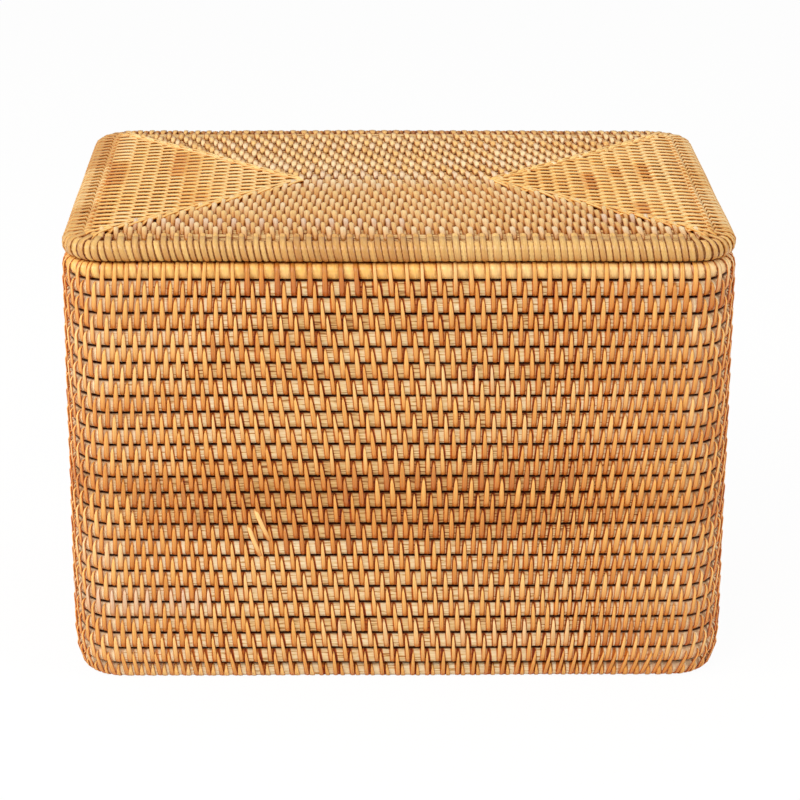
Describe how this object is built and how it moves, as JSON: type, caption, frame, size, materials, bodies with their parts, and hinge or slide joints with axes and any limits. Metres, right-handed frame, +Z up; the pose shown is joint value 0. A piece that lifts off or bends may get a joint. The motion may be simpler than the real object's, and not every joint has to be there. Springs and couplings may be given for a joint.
{
  "type": "woven lidded box",
  "caption": "Rectangular storage box of coiled rattan rod lashed with peel, with a flat lift-off lid that has a wrapped bead and a collar under it.",
  "frame": {"origin": "middle of the foot, on the surface that the box stands on", "axes": "+X along the length, to the right seen from the front; +Y from front to back; +Z up"},
  "size_m": [0.36, 0.254, 0.2516],
  "materials": {
    "rattan_core": "matt pale rattan rod with fine lengthwise fibres",
    "rattan_peel": "satin honey-coloured rattan peel"
  },
  "bodies": {
    "box": {"wall_hoop_01": "rattan_core", "wall_hoop_02": "rattan_core", "wall_hoop_03": "rattan_core", "wall_hoop_04": "rattan_core", "wall_hoop_05": "rattan_core", "wall_hoop_06": "rattan_core", "wall_hoop_07": "rattan_core", "wall_hoop_08": "rattan_core", "wall_hoop_09": "rattan_core", "wall_hoop_10": "rattan_core", "wall_hoop_11": "rattan_core", "wall_hoop_12": "rattan_core", "wall_hoop_13": "rattan_core", "wall_hoop_14": "rattan_core", "wall_hoop_15": "rattan_core", "wall_hoop_16": "rattan_core", "wall_hoop_17": "rattan_core", "wall_hoop_18": "rattan_core", "wall_hoop_19": "rattan_core", "wall_hoop_20": "rattan_core", "wall_hoop_21": "rattan_core", "wall_hoop_22": "rattan_core", "wall_hoop_23": "rattan_core", "wall_hoop_24": "rattan_core", "wall_hoop_25": "rattan_core", "wall_hoop_26": "rattan_core", "base_coil": "rattan_core"},
    "lid": {"lid_rim": "rattan_peel", "lid_coil": "rattan_core", "lid_collar_1": "rattan_core", "lid_collar_2": "rattan_core"}
  },
  "joints": [
    {"name": "lid_lift", "type": "slide", "parent": "box", "child": "lid", "axis": [0, 0, 1], "range_m": [0, 0.3]}
  ]
}
